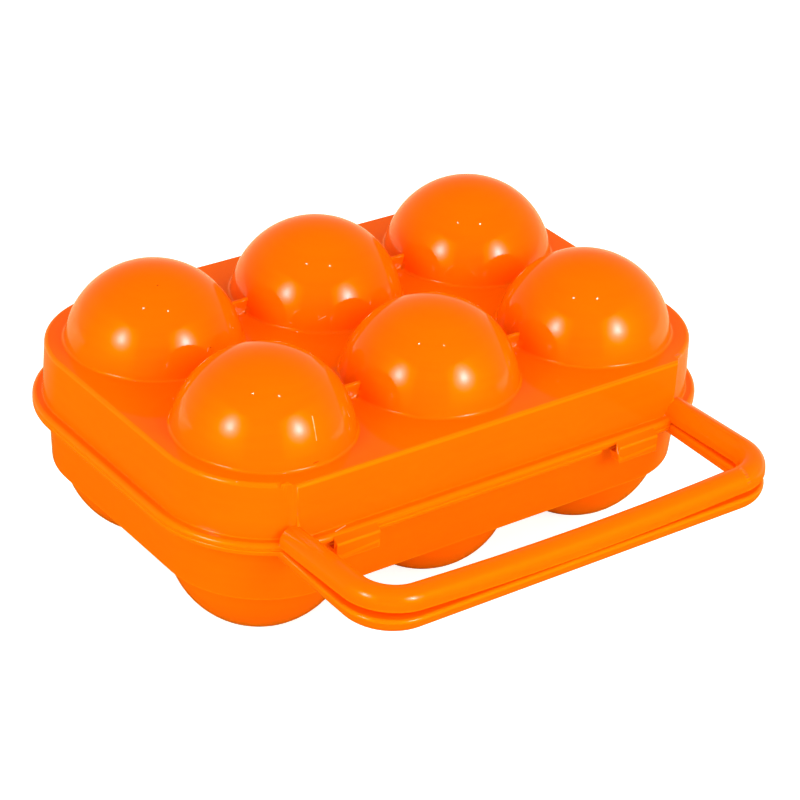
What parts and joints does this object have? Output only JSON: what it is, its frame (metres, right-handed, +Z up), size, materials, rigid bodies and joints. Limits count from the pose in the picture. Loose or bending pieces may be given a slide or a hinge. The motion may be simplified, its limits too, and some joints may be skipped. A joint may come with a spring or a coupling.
{
  "type": "camping egg box",
  "caption": "Hinged clamshell box for carrying eggs: domed cups in lid and base, flat rims that meet, snap tabs and a split loop handle at the front.",
  "frame": {"origin": "on the surface the box stands on, under the middle of its bounding box", "axes": "+X to the right along the handle, +Y to the back where the hinges are, +Z up; the handle and snap tabs face -Y"},
  "size_m": [0.1548, 0.1475, 0.0708],
  "materials": {
    "orange_plastic": "glossy moulded orange plastic"
  },
  "bodies": {
    "base": {"base_half": "orange_plastic"},
    "lid": {"lid_half": "orange_plastic"}
  },
  "joints": [
    {"name": "lid_hinge", "type": "hinge", "parent": "base", "child": "lid", "pos_m": [0, 0.07075, 0.0355], "axis": [-1, 0, 0], "range_deg": [0, 180]}
  ]
}
